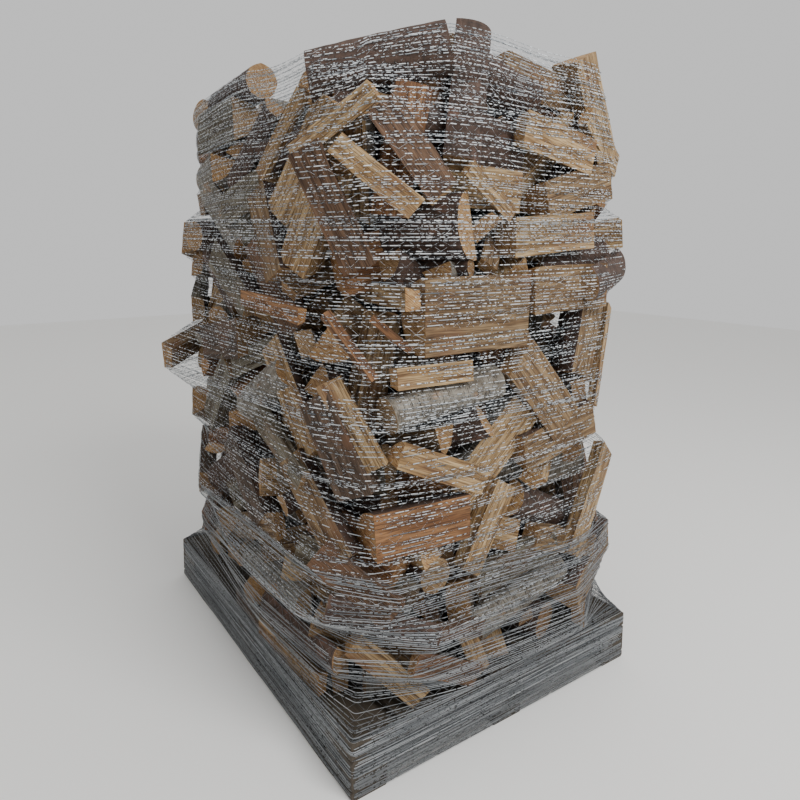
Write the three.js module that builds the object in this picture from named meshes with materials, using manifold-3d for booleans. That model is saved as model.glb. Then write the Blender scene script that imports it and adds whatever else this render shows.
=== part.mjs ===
// A pallet load of split birch firewood, tipped loosely and wound round with knitted pallet net.
// Millimetres, +Z up. The origin is on the ground under the middle of the pallet.
// +X is along the pallet's 1200 mm side, +Y along its 1000 mm side.

import * as THREE from 'three';
import * as BufferGeometryUtils from 'three/addons/utils/BufferGeometryUtils.js';
import Module from 'manifold-3d';

const wasm = await Module();
wasm.setup();

// ---------------------------------------------------------------- driving sizes

const PALLET = { length: 1200, width: 1000, board: 22, block: 78, deckBoards: 7, deckBoardWidth: 120 };
const BLOCK = { along: 120, across: 100 };
const GAP = 0.3; // air between pieces that touch

// The load's plan is a rounded rectangle: |x / halfLength|^corner + |y / halfWidth|^corner = 1.
const LOAD = { halfLength: 612, halfWidth: 528, corner: 4.5, top: 1770 };
const FOOT_SHRINK = 0.045; // the first logs stand this share inside the plan, on the deck
const FOOT_HEIGHT = 380; // and the load is at its full plan from here up
const SHOULDER_HEIGHT = 1450; // above this the plan draws in again
const SHOULDER_SHRINK = 0.1;

const HEAP_INSET = 22; // the heap's surface lies this far inside the plan
const HEAP = { around: 40, levels: 22, bump: 14 };

const LOG_LENGTH = 330; // firewood sawn to a third of a metre
const LOG_STEPS = 3; // stretches along a log, so that it can twist and taper
const SEAT = { step: 16, depthStep: 12 }; // a log looks for room among its neighbours in these steps
const CLEARANCE = 0.8; // a log's seat in the heap is this much larger than the log

const NET = { wall: 2.5, ease: 2, around: 32, hem: 14, top: 1752, levelStep: 82, slope: 1.5 };

const FORK_CLEAR = 0.6; // the net stops this far outside a fork pocket

// ---------------------------------------------------------------- small helpers

/** A seeded source of numbers from 0 to 1, the same on every run. */
function seeded(seed) {
  let state = seed >>> 0;
  return () => {
    state = (state + 0x6d2b79f5) >>> 0;
    let t = state;
    t = Math.imul(t ^ (t >>> 15), t | 1);
    t ^= t + Math.imul(t ^ (t >>> 7), t | 61);
    return ((t ^ (t >>> 14)) >>> 0) / 4294967296;
  };
}

const radians = THREE.MathUtils.degToRad;

/** A closed three.js geometry as a manifold solid. */
function toSolid(geometry) {
  const bare = geometry.clone();
  bare.deleteAttribute('normal');
  bare.deleteAttribute('uv');
  const merged = BufferGeometryUtils.mergeVertices(bare, 1e-3);
  return new wasm.Manifold(
    new wasm.Mesh({
      numProp: 3,
      vertProperties: new Float32Array(merged.attributes.position.array),
      triVerts: new Uint32Array(merged.index.array),
    }),
  );
}

/** A manifold solid as a three.js geometry. */
function toGeometry(solid) {
  const mesh = solid.getMesh();
  const geometry = new THREE.BufferGeometry();
  geometry.setAttribute('position', new THREE.Float32BufferAttribute(mesh.vertProperties, 3));
  geometry.setIndex(Array.from(mesh.triVerts));
  geometry.computeVertexNormals();
  return geometry;
}

/** The largest of the bodies that a cut leaves. */
function largestBody(solid) {
  const bodies = solid.decompose();
  return bodies.reduce((best, body) => (body.volume() > best.volume() ? body : best));
}

/** Rings of points, each with the same count, skinned into a closed or a tubular surface. */
function skinRings(rings, closedEnds) {
  const count = rings[0].length;
  const positions = rings.flat().flatMap((p) => [p.x, p.y, p.z]);
  const index = [];
  const last = closedEnds ? rings.length - 1 : rings.length;
  for (let k = 0; k < last; k += 1) {
    const above = (k + 1) % rings.length;
    for (let j = 0; j < count; j += 1) {
      const next = (j + 1) % count;
      const a = k * count + j;
      const b = k * count + next;
      const c = above * count + next;
      const d = above * count + j;
      index.push(a, b, c, a, c, d);
    }
  }
  if (closedEnds) {
    for (const ring of [0, rings.length - 1]) {
      const middle = new THREE.Vector3();
      rings[ring].forEach((p) => middle.add(p));
      middle.divideScalar(count);
      const hub = positions.length / 3;
      positions.push(middle.x, middle.y, middle.z);
      for (let j = 0; j < count; j += 1) {
        const a = ring * count + j;
        const b = ring * count + ((j + 1) % count);
        index.push(...(ring === 0 ? [b, a, hub] : [a, b, hub]));
      }
    }
  }
  const geometry = new THREE.BufferGeometry();
  geometry.setAttribute('position', new THREE.Float32BufferAttribute(positions, 3));
  geometry.setIndex(index);
  geometry.computeVertexNormals();
  return geometry;
}

// ---------------------------------------------------------------- materials

const finish = (color, roughness) => () => new THREE.MeshStandardMaterial({ color, roughness, metalness: 0 });

const FINISHES = {
  pallet: finish(0x8c7a63, 0.85),
  pale: finish(0xc8a878, 0.8),
  tan: finish(0xb08f63, 0.8),
  orange: finish(0xa8743f, 0.8),
  bark: finish(0x4a3527, 0.9),
  whiteBark: finish(0xb9b3a6, 0.8),
  heap: finish(0x7d6448, 0.9),
  net: finish(0xdfe5ea, 0.5),
};

const group = new THREE.Group();

/** Puts one named piece into the model. */
function addPiece(name, geometry, finishName, parent = group) {
  const mesh = new THREE.Mesh(geometry, FINISHES[finishName]());
  mesh.name = name;
  parent.add(mesh);
  return mesh;
}

// ---------------------------------------------------------------- the pallet

/** Heights of the pallet's four layers, from the ground up. */
const bottomTop = PALLET.board;
const blockTop = bottomTop + PALLET.block;
const stringerTop = blockTop + PALLET.board;
const deckTop = stringerTop + PALLET.board;

const blockRowsX = [-1, 0, 1].map((side) => (side * (PALLET.length - BLOCK.along)) / 2);
const blockRowsY = [-1, 0, 1].map((side) => (side * (PALLET.width - BLOCK.across)) / 2);

/** Adds a board or block that fills a box, with air above it where the next layer lies. */
function addTimber(name, size, x, y, low, high, airAbove = GAP) {
  const height = high - low - airAbove;
  const mesh = addPiece(name, new THREE.BoxGeometry(size.x, size.y, height), 'pallet', pallet);
  mesh.position.set(x, y, low + height / 2);
}

const pallet = new THREE.Group();
group.add(pallet);

blockRowsY.forEach((y, row) => {
  const size = { x: PALLET.length, y: BLOCK.across };
  addTimber(`bottom_board_${row + 1}`, size, 0, y, 0, bottomTop);
});
blockRowsX.forEach((x, column) => {
  blockRowsY.forEach((y, row) => {
    const size = { x: BLOCK.along, y: BLOCK.across };
    addTimber(`block_${column * 3 + row + 1}`, size, x, y, bottomTop, blockTop);
  });
  const size = { x: BLOCK.along, y: PALLET.width };
  addTimber(`stringer_board_${column + 1}`, size, x, 0, blockTop, stringerTop);
});
for (let n = 0; n < PALLET.deckBoards; n += 1) {
  const pitch = (PALLET.width - PALLET.deckBoardWidth) / (PALLET.deckBoards - 1);
  const y = -PALLET.width / 2 + PALLET.deckBoardWidth / 2 + n * pitch;
  const size = { x: PALLET.length, y: PALLET.deckBoardWidth };
  addTimber(`deck_board_${n + 1}`, size, 0, y, stringerTop, deckTop, 0);
}

// ---------------------------------------------------------------- the load's plan

/** How much the plan is drawn in at a height, as a scale. */
function planScale(height) {
  const foot = THREE.MathUtils.smoothstep(height, deckTop, FOOT_HEIGHT);
  const shoulder = THREE.MathUtils.smoothstep(height, SHOULDER_HEIGHT, LOAD.top);
  return 1 - FOOT_SHRINK * (1 - foot) - SHOULDER_SHRINK * shoulder * shoulder;
}

/** The point of the load's side at a bearing and a height, moved inwards by an inset. */
function sidePoint(bearing, height, inset = 0) {
  const c = Math.cos(bearing);
  const s = Math.sin(bearing);
  const a = LOAD.halfLength * planScale(height) - inset;
  const b = LOAD.halfWidth * planScale(height) - inset;
  const reach = (Math.abs(c / a) ** LOAD.corner + Math.abs(s / b) ** LOAD.corner) ** (-1 / LOAD.corner);
  return new THREE.Vector3(c * reach, s * reach, height);
}

/** The level outward direction of the load's side at a bearing. */
function sideNormal(bearing, height) {
  const step = 0.02;
  const along = sidePoint(bearing + step, height).sub(sidePoint(bearing - step, height));
  return new THREE.Vector3(along.y, -along.x, 0).normalize();
}

// ---------------------------------------------------------------- logs

/** An arc of bark as outline points, from one angle to another. */
function barkArc(radius, from, to, pieces, wobble) {
  const points = [];
  for (let k = 0; k <= pieces; k += 1) {
    const angle = from + ((to - from) * k) / pieces;
    const r = radius * (1 + 0.03 * wobble());
    points.push(new THREE.Vector2(Math.cos(angle) * r, Math.sin(angle) * r));
  }
  return points;
}

// Each section is an outline across the log. Its x is across the side that shows and its y points out
// of the load. `width` is the width of that side.
const SECTIONS = {
  // a half log, round side out
  half_log: (width, wobble) => barkArc(width / 2, -0.04, Math.PI + 0.04, 8, wobble),
  // a half log, split side out
  half_face: (width, wobble) => barkArc(width / 2, -Math.PI - 0.04, 0.04, 8, wobble),
  // a quarter log, round side out
  quarter_log: (width, wobble) => {
    const radius = width / 1.42;
    const spread = radians(45);
    const arc = barkArc(radius, Math.PI / 2 - spread, Math.PI / 2 + spread, 5, wobble);
    return [new THREE.Vector2(0.02 * width * wobble(), 0), ...arc];
  },
  // a quarter log, one split side out and the round side below
  quarter_face: (width, wobble) => {
    const arc = barkArc(width, -radians(72 + 8 * wobble()), 0, 5, wobble);
    return [new THREE.Vector2(0, 0), ...arc].map((p) => p.setX(p.x - width / 2));
  },
  // a flat piece split off a side
  slab: (width, wobble) => [
    new THREE.Vector2(-width / 2, 0.03 * width * wobble()),
    new THREE.Vector2(-0.42 * width, -0.36 * width),
    new THREE.Vector2(0.36 * width, -(0.42 + 0.05 * wobble()) * width),
    new THREE.Vector2(width / 2, 0),
  ],
  // a thin splinter-like piece
  slat: (width, wobble) => [
    new THREE.Vector2(-width / 2, 0),
    new THREE.Vector2(-0.3 * width, -(0.5 + 0.05 * wobble()) * width),
    new THREE.Vector2(0.42 * width, -0.56 * width),
    new THREE.Vector2(width / 2, 0.02 * width),
  ],
  // a squarish piece from the heart
  billet: (width, wobble) => [
    new THREE.Vector2(-width / 2, 0),
    new THREE.Vector2(-(0.42 + 0.03 * wobble()) * width, -0.74 * width),
    new THREE.Vector2(0.4 * width, -(0.66 + 0.04 * wobble()) * width),
    new THREE.Vector2(width / 2, 0.03 * width * wobble()),
  ],
  // a thin unsplit log
  round_log: (width, wobble) => barkArc(width / 2, 0, 2 * Math.PI * (11 / 12), 11, wobble),
};

/** A log's geometry: its section carried along Z, twisted and tapered a little, about its middle. */
function logGeometry(log, growth) {
  const random = seeded(log.seed);
  const wobble = () => 2 * random() - 1;
  const outline = SECTIONS[log.kind](log.width, wobble);
  const middle = new THREE.Vector2();
  outline.forEach((p) => middle.add(p));
  middle.divideScalar(outline.length);
  const smallest = Math.min(...outline.map((p) => p.distanceTo(middle)));
  const grown = outline.map((p) => {
    const away = p.clone().sub(middle);
    return away.multiplyScalar(1 + (2 * growth) / smallest).add(middle);
  });
  const shape = new THREE.Shape(grown);
  const length = log.length + 2 * growth;
  const settings = { depth: length, steps: LOG_STEPS, bevelEnabled: false };
  const geometry = new THREE.ExtrudeGeometry(shape, settings);
  geometry.translate(0, 0, -length / 2);
  const twist = radians(5) * wobble();
  const taper = 0.07 * wobble();
  const bow = 0.012 * log.length * wobble();
  const position = geometry.attributes.position;
  for (let k = 0; k < position.count; k += 1) {
    const t = position.getZ(k) / length;
    const turn = twist * t;
    const scale = 1 + taper * t;
    const x = position.getX(k) * scale;
    const y = position.getY(k) * scale;
    position.setX(k, x * Math.cos(turn) - y * Math.sin(turn) + bow * (1 - 4 * t * t));
    position.setY(k, x * Math.sin(turn) + y * Math.cos(turn));
  }
  return geometry;
}

/**
 * Where a log lies: its showing side at a bearing and height on the load's side. `slope` turns it up to the
 * right as seen from outside, `lean` tips its right end outwards, `roll` turns it about its own length and
 * `out` moves it outwards. A shift moves it further out, to the right and up.
 */
function logPlace(log, shift) {
  const bearing = radians(log.bearing);
  const outward = sideNormal(bearing, log.height);
  const up = new THREE.Vector3(0, 0, 1);
  const right = new THREE.Vector3().crossVectors(up, outward);
  const slope = radians(log.slope);
  const lean = radians(log.lean ?? 0);
  const level = right.clone().multiplyScalar(Math.cos(slope)).addScaledVector(up, Math.sin(slope));
  const axis = level.multiplyScalar(Math.cos(lean)).addScaledVector(outward, Math.sin(lean)).normalize();
  const face = outward.clone().addScaledVector(axis, -outward.dot(axis)).normalize();
  face.applyAxisAngle(axis, radians(log.roll ?? 0));
  const across = new THREE.Vector3().crossVectors(face, axis);
  const place = new THREE.Matrix4().makeBasis(across, face, axis);
  const point = sidePoint(bearing, log.height).addScaledVector(outward, (log.out ?? 0) + shift.out);
  point.addScaledVector(right, shift.right).addScaledVector(up, shift.up);
  return place.setPosition(point);
}

// The logs that can be told apart on the load's outside. Bearings run counter-clockwise from +X, in degrees.
const LOGS = [
  // round the shoulder and the top
  { kind: 'half_log', bearing: -36, height: 1698, slope: 11, lean: 4, width: 124, out: -62, tone: 'bark' },
  { kind: 'quarter_log', bearing: -18, height: 1646, slope: 80, lean: -6, width: 112, out: -74, tone: 'bark' },
  { kind: 'slat', bearing: -60, height: 1543, slope: 46, lean: -4, width: 44, length: 250, tone: 'pale' },
  { kind: 'slat', bearing: -45, height: 1548, slope: 32, lean: -4, width: 52, length: 240, out: 4, tone: 'pale' },
  { kind: 'slab', bearing: 12, height: 1534, slope: -12, width: 94, length: 270, tone: 'pale' },
  { kind: 'quarter_face', bearing: 24, height: 1636, slope: -64, width: 100, out: 10, length: 290, tone: 'pale' },
  { kind: 'billet', bearing: -36.5, height: 1446, slope: -39, width: 54, length: 230, out: 8, tone: 'pale' },
  { kind: 'quarter_face', bearing: -31, height: 1524, slope: -52, width: 82, length: 240, tone: 'tan' },
  // above the middle
  { kind: 'half_log', bearing: -21, height: 1312, slope: 8, lean: 61, width: 170, out: -172, tone: 'bark' },
  { kind: 'slab', bearing: -44.5, height: 1390, slope: -69, lean: -14, width: 86, length: 300, tone: 'tan' },
  { kind: 'slat', bearing: -10.5, height: 1418, slope: -37, width: 42, length: 180, tone: 'pale' },
  { kind: 'billet', bearing: 11, height: 1305, slope: 4, width: 98, length: 300, tone: 'pale' },
  { kind: 'billet', bearing: 31, height: 1280, slope: 20, lean: 62, width: 82, out: -124, tone: 'pale' },
  { kind: 'quarter_face', bearing: -67.5, height: 1309, slope: -66, width: 96, length: 240, tone: 'tan' },
  { kind: 'half_face', bearing: -13.5, height: 1112, slope: 0, width: 182, tone: 'tan' },
  { kind: 'quarter_face', bearing: 17.5, height: 1162, slope: 1, width: 120, length: 300, tone: 'tan' },
  { kind: 'billet', bearing: -36, height: 1158, slope: 0, lean: 66, width: 52, out: -124, length: 300, tone: 'pale' },
  { kind: 'slat', bearing: -66, height: 1119, slope: -4, width: 44, length: 320, tone: 'orange' },
  { kind: 'slab', bearing: -137, height: 938, slope: -16, lean: 26, width: 92, tone: 'tan' },
  // below the middle
  { kind: 'quarter_face', bearing: -105, height: 813, slope: 50, width: 96, length: 270, tone: 'pale' },
  { kind: 'slat', bearing: -42, height: 1043, slope: -51, width: 36, length: 190, roll: 50, tone: 'orange' },
  { kind: 'slab', bearing: 8.5, height: 909, slope: -48, width: 122, length: 270, tone: 'tan' },
  { kind: 'quarter_face', bearing: -22, height: 748, slope: -23, width: 64, length: 270, out: 6, tone: 'pale' },
  { kind: 'quarter_face', bearing: -25, height: 644, slope: 2, width: 112, length: 260, tone: 'orange' },
  { kind: 'round_log', bearing: -18, height: 906, slope: 8, width: 90, out: -50, tone: 'whiteBark' },
  { kind: 'slab', bearing: -62, height: 762, slope: -26, width: 66, length: 260, tone: 'pale' },
  { kind: 'billet', bearing: -44.5, height: 806, slope: -64, width: 96, length: 250, tone: 'tan' },
  { kind: 'slab', bearing: 29, height: 540, slope: 52, width: 92, tone: 'pale' },
  // on and above the deck
  { kind: 'half_log', bearing: -68, height: 364, slope: 2, width: 86, out: -42, tone: 'whiteBark' },
  { kind: 'half_log', bearing: 5, height: 326, slope: 15, width: 88, out: -44, tone: 'whiteBark' },
  { kind: 'billet', bearing: -33.5, height: 230, slope: -43, width: 62, length: 230, tone: 'pale' },
  { kind: 'quarter_log', bearing: -36, height: 362, slope: -16, width: 74, out: -52, length: 280, tone: 'bark' },
  { kind: 'quarter_log', bearing: -57, height: 272, slope: 1, width: 76, out: -56, tone: 'bark' },
  { kind: 'slab', bearing: -61, height: 186, slope: -1, width: 62, length: 310, tone: 'tan' },
  { kind: 'slab', bearing: -4, height: 238, slope: -66, width: 54, length: 160, tone: 'pale' },
  { kind: 'slab', bearing: -21, height: 250, slope: -26, width: 60, length: 210, tone: 'orange' },
].map((log, n) => ({ length: LOG_LENGTH, seed: 101 + n, ...log }));

/** A log's solid in place, grown by a clearance. */
function logSolid(log, shift, growth) {
  const geometry = logGeometry(log, growth);
  geometry.applyMatrix4(logPlace(log, shift));
  return toSolid(geometry);
}

/** The shifts that a log may make to find room among its neighbours, the smallest first. */
function seatShifts() {
  const sideways = Array.from({ length: 17 }, (_, k) => (k - 8) * SEAT.step);
  const outwards = Array.from({ length: 5 }, (_, k) => (k - 1) * SEAT.depthStep);
  const shifts = [];
  for (const right of sideways) {
    for (const up of sideways) {
      for (const out of outwards) {
        shifts.push({ right, up, out, cost: Math.hypot(right, up) + 1.4 * Math.abs(out) });
      }
    }
  }
  return shifts.sort((one, other) => one.cost - other.cost);
}

/** Whether two boxes with min and max corners share any space. */
function boxesMeet(one, other) {
  return [0, 1, 2].every((k) => one.min[k] < other.max[k] && other.min[k] < one.max[k]);
}

/** The smallest shift that keeps a log above the deck and clear of the logs placed before it. */
function seatLog(log, others) {
  return seatShifts().find((shift) => {
    const solid = logSolid(log, shift, GAP);
    const box = solid.boundingBox();
    const near = others.filter((other) => boxesMeet(box, other.box));
    const clear = near.every((other) => solid.intersect(other.solid).volume() === 0);
    return clear && box.min[2] > deckTop;
  });
}

const seats = [];
const logPoints = [];
LOGS.forEach((log, n) => {
  const shift = seatLog(log, seats);
  const place = logPlace(log, shift);
  const solid = logSolid(log, shift, CLEARANCE);
  seats.push({ solid, box: solid.boundingBox() });
  const name = `${log.kind.replace('_face', '_log')}_${String(n + 1).padStart(2, '0')}`;
  const mesh = addPiece(name, logGeometry(log, 0), log.tone);
  mesh.applyMatrix4(place);
  const position = mesh.geometry.attributes.position;
  for (let k = 0; k < position.count; k += 1) {
    logPoints.push(new THREE.Vector3().fromBufferAttribute(position, k).applyMatrix4(place));
  }
});

// ---------------------------------------------------------------- the heap of the other logs

/** One closed body for all the logs that lie behind and between the named ones, out to their tips. */
function heapGeometry() {
  const random = seeded(7);
  const waves = Array.from({ length: 9 }, (_, k) => ({
    turns: 3 + k,
    rise: (0.6 + 1.6 * random()) / 100,
    phase: 2 * Math.PI * random(),
    size: HEAP.bump * (0.35 + 0.3 * random()),
  }));
  const rings = [];
  for (let k = 0; k <= HEAP.levels; k += 1) {
    const t = k / HEAP.levels;
    const height = THREE.MathUtils.lerp(deckTop + GAP, LOAD.top, t);
    const ring = [];
    for (let j = 0; j < HEAP.around; j += 1) {
      const bearing = (2 * Math.PI * j) / HEAP.around;
      const bump = waves.reduce(
        (sum, w) => sum + w.size * Math.sin(w.turns * bearing + w.rise * height * Math.PI + w.phase),
        0,
      );
      const inset = HEAP_INSET + Math.max(-HEAP_INSET + 4, Math.min(HEAP_INSET + 8, bump));
      ring.push(sidePoint(bearing, height, inset));
    }
    rings.push(ring);
  }
  return skinRings(rings, true);
}

let heap = toSolid(heapGeometry());
seats.forEach((seat) => {
  heap = heap.subtract(seat.solid);
});
heap = largestBody(heap);
addPiece('log_heap', toGeometry(heap), 'heap');

// ---------------------------------------------------------------- the net

/**
 * The points that hold the net out at one level: everything within a ring's reach at full size, and what is
 * further up or down drawn in towards the middle, so that the net runs to it in a slope.
 */
function heldPoints(points, level) {
  return points.map((p) => {
    const away = Math.max(0, Math.abs(p.z - level) - NET.levelStep);
    const reach = Math.hypot(p.x, p.y);
    const scale = Math.max(0, 1 - (NET.slope * away) / reach);
    return { x: p.x * scale, y: p.y * scale };
  });
}

/** The taut outline round a set of points: straight lines that each touch the outermost point on their side. */
function tautRing(points, level, ease) {
  const turn = (2 * Math.PI) / NET.around;
  const reach = [];
  for (let j = 0; j < NET.around; j += 1) {
    const c = Math.cos(j * turn);
    const s = Math.sin(j * turn);
    reach.push(ease + points.reduce((most, p) => Math.max(most, p.x * c + p.y * s), 0));
  }
  return reach.map((near, j) => {
    const far = reach[(j + 1) % NET.around];
    const from = j * turn;
    const to = from + turn;
    const x = (near * Math.sin(to) - far * Math.sin(from)) / Math.sin(turn);
    const y = (far * Math.cos(from) - near * Math.cos(to)) / Math.sin(turn);
    return new THREE.Vector3(x, y, level);
  });
}

/** Everything that the net is stretched over, as points. */
function netSupports() {
  const heapMesh = heap.getMesh();
  const points = [...logPoints];
  for (let k = 0; k < heapMesh.vertProperties.length; k += 3) {
    points.push(new THREE.Vector3().fromArray(heapMesh.vertProperties, k));
  }
  for (const height of [0, deckTop]) {
    for (const x of [-1, 1]) {
      for (const y of [-1, 1]) {
        points.push(new THREE.Vector3((x * PALLET.length) / 2, (y * PALLET.width) / 2, height));
      }
    }
  }
  return points;
}

/** The four spaces under the deck that a fork goes into, as [low corner, high corner]. */
function forkPockets() {
  const beyond = 100;
  const insideX = (PALLET.length - 2 * BLOCK.along - BLOCK.along) / 2;
  const insideY = (PALLET.width - 2 * BLOCK.across - BLOCK.across) / 2;
  const pockets = [];
  for (const side of [-1, 1]) {
    const x = (side * (BLOCK.along + insideX)) / 2;
    const y = (side * (BLOCK.across + insideY)) / 2;
    pockets.push({
      low: new THREE.Vector3(-PALLET.length / 2 - beyond, y - insideY / 2, -1),
      high: new THREE.Vector3(PALLET.length / 2 + beyond, y + insideY / 2, blockTop),
    });
    pockets.push({
      low: new THREE.Vector3(x - insideX / 2, -PALLET.width / 2 - beyond, -1),
      high: new THREE.Vector3(x + insideX / 2, PALLET.width / 2 + beyond, stringerTop),
    });
  }
  return pockets;
}

/** The net as one thin skin, open above and below, and open in front of the fork pockets. */
function netSolid() {
  const supports = netSupports();
  const levels = Math.round((NET.top - NET.hem) / NET.levelStep);
  const inner = [];
  const outer = [];
  for (let k = 0; k <= levels; k += 1) {
    const level = THREE.MathUtils.lerp(NET.hem, NET.top, k / levels);
    const held = heldPoints(supports, level);
    inner.push(tautRing(held, level, NET.ease));
    outer.push(tautRing(held, level, NET.ease + NET.wall));
  }
  let net = toSolid(skinRings([...outer, ...inner.reverse()], false));
  for (const pocket of forkPockets()) {
    const size = pocket.high.clone().sub(pocket.low).addScalar(2 * FORK_CLEAR);
    const box = new THREE.BoxGeometry(size.x, size.y, size.z);
    const middle = pocket.high.clone().add(pocket.low).multiplyScalar(0.5);
    box.translate(middle.x, middle.y, middle.z);
    net = net.subtract(toSolid(box));
  }
  return largestBody(net);
}

addPiece('pallet_net', toGeometry(netSolid()), 'net');

export default group;
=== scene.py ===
import logging
import math
from dataclasses import dataclass, field
from enum import Enum

import bpy
import numpy as np
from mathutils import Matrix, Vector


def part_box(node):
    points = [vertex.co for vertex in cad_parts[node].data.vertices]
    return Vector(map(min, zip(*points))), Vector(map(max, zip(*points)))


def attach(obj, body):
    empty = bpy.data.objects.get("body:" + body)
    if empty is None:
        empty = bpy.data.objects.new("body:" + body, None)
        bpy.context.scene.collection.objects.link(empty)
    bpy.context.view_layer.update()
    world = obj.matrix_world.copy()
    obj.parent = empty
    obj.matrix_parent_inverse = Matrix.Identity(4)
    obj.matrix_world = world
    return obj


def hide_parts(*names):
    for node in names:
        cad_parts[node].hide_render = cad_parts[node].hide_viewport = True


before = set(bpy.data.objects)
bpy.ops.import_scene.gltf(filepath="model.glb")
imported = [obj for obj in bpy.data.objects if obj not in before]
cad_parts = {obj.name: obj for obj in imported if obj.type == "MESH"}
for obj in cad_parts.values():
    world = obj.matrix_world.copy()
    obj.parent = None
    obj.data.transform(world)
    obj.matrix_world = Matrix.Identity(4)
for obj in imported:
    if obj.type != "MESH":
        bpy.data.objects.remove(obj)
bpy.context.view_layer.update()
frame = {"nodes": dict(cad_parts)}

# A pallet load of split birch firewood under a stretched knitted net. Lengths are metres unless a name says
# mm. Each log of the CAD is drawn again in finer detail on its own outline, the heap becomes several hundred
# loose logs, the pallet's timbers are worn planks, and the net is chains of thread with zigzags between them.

LOG = logging.getLogger("firewood")
MM = 0.001

# The load's plan, as in the CAD: a rounded rectangle drawn in at the foot and at the shoulder.
HALF_LENGTH, HALF_WIDTH, CORNER = 0.612, 0.528, 4.5
DECK_TOP, LOAD_TOP = 0.144, 1.77
FOOT_HEIGHT, FOOT_SHRINK = 0.38, 0.045
SHOULDER_HEIGHT, SHOULDER_SHRINK = 1.45, 0.1


class Tone(Enum):
    """Colours of split birch, by how fresh and how near the heart the face is."""

    PALE = "#b59a72"
    TAN = "#8d7555"
    ORANGE = "#906843"
    RED = "#6a503b"
    GREY = "#767061"
    BROWN = "#574638"


class Bark(Enum):
    """The bark a log carries on its round side."""

    WHITE = "white"
    DARK = "dark"


class Shape(Enum):
    """How a stick was split out of the stem."""

    HALF = "half"
    QUARTER = "quarter"
    FACE = "face"
    SLAB = "slab"
    SLAT = "slat"
    BILLET = "billet"
    ROUND = "round"


# ---------------------------------------------------------------- small helpers


def linear(colour: str) -> tuple[float, float, float, float]:
    """Turns an sRGB hex colour into linear light.

    Args:
        colour: the colour as "#rrggbb".
    Returns:
        The linear red, green, blue and an alpha of 1.
    """
    values = [int(colour[k:k + 2], 16) / 255 for k in (1, 3, 5)]
    bent = [v / 12.92 if v <= 0.04045 else ((v + 0.055) / 1.055) ** 2.4 for v in values]
    return (*bent, 1.0)


def smooth(x: np.ndarray, low: float, high: float) -> np.ndarray:
    """Eases from 0 at low to 1 at high: 3t squared less 2t cubed.

    Args:
        x: where it is wanted.
        low: where it starts.
        high: where it ends.
    Returns:
        The eased values.
    """
    t = np.clip((x - low) / (high - low), 0, 1)
    return t * t * (3 - 2 * t)


def plan_scale(height: np.ndarray) -> np.ndarray:
    """Gives how much the plan is drawn in at a height.

    Args:
        height: metres above the ground.
    Returns:
        The plan's scale.
    """
    height = np.asarray(height, float)
    shoulder = smooth(height, SHOULDER_HEIGHT, LOAD_TOP)
    return 1 - FOOT_SHRINK * (1 - smooth(height, DECK_TOP, FOOT_HEIGHT)) - SHOULDER_SHRINK * shoulder ** 2


def wall_point(bearing: float, height: float) -> np.ndarray:
    """Finds the point of the load's side at a bearing: where |x/a|^n + |y/b|^n is 1.

    Args:
        bearing: radians, counter-clockwise from +X.
        height: metres above the ground.
    Returns:
        The point.
    """
    scale = float(plan_scale(height))
    c, s = math.cos(bearing), math.sin(bearing)
    a, b = HALF_LENGTH * scale, HALF_WIDTH * scale
    reach = (abs(c / a) ** CORNER + abs(s / b) ** CORNER) ** (-1 / CORNER)
    return np.array([c * reach, s * reach, height])


def wall_normal(points: np.ndarray) -> np.ndarray:
    """Gives the level outward direction of the plan at points: the slope of |x/a|^n + |y/b|^n.

    Args:
        points: (n, 3) positions.
    Returns:
        (n, 3) unit vectors.
    """
    x, y = points[:, 0] / HALF_LENGTH, points[:, 1] / HALF_WIDTH
    power = CORNER - 1
    out = np.stack([np.sign(x) * abs(x) ** power / HALF_LENGTH, np.sign(y) * abs(y) ** power / HALF_WIDTH, 0 * x], 1)
    return out / np.maximum(np.linalg.norm(out, axis=1, keepdims=True), 1e-9)


def unit(v: np.ndarray) -> np.ndarray:
    """Scales vectors to length 1.

    Args:
        v: vectors along the last axis.
    Returns:
        The unit vectors.
    """
    return v / np.maximum(np.linalg.norm(v, axis=-1, keepdims=True), 1e-12)


def ripple(rng: np.random.Generator, x: np.ndarray, longest: float, octaves: int = 3) -> np.ndarray:
    """A smooth random curve of about unit height: a sum of sines of halving wavelength and random phase.

    Args:
        rng: the random source.
        x: positions.
        longest: the longest wavelength.
        octaves: how many sines.
    Returns:
        The curve at x.
    """
    total = np.zeros(np.shape(x))
    for k in range(octaves):
        wave = longest * 0.53 ** k * rng.uniform(0.85, 1.15)
        total = total + 0.62 ** k * np.sin(2 * math.pi * x / wave + rng.uniform(0, 2 * math.pi))
    return total


# ---------------------------------------------------------------- shader helpers


def add(tree: bpy.types.NodeTree, kind: str, inputs: dict | None = None, **settings) -> bpy.types.Node:
    """Adds one node with its settings and inputs.

    Args:
        tree: the node tree.
        kind: the node's type name.
        inputs: for each input's name or number, an output to link to it or a value.
        settings: the node's own properties.
    Returns:
        The node.
    """
    node = tree.nodes.new(kind)
    for key, value in settings.items():
        setattr(node, key, value)
    for key, value in (inputs or {}).items():
        if isinstance(value, bpy.types.NodeSocket):
            tree.links.new(value, node.inputs[key])
        else:
            node.inputs[key].default_value = value
    return node


def ramp(tree: bpy.types.NodeTree, value, low: float, high: float) -> bpy.types.NodeSocket:
    """Maps a value so that low becomes 0 and high becomes 1, and clamps it.

    Args:
        tree: the node tree.
        value: the output to map.
        low: becomes 0.
        high: becomes 1.
    Returns:
        The mapped output.
    """
    sockets = {"Value": value, "From Min": low, "From Max": high}
    return add(tree, "ShaderNodeMapRange", sockets, clamp=True).outputs["Result"]


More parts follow.
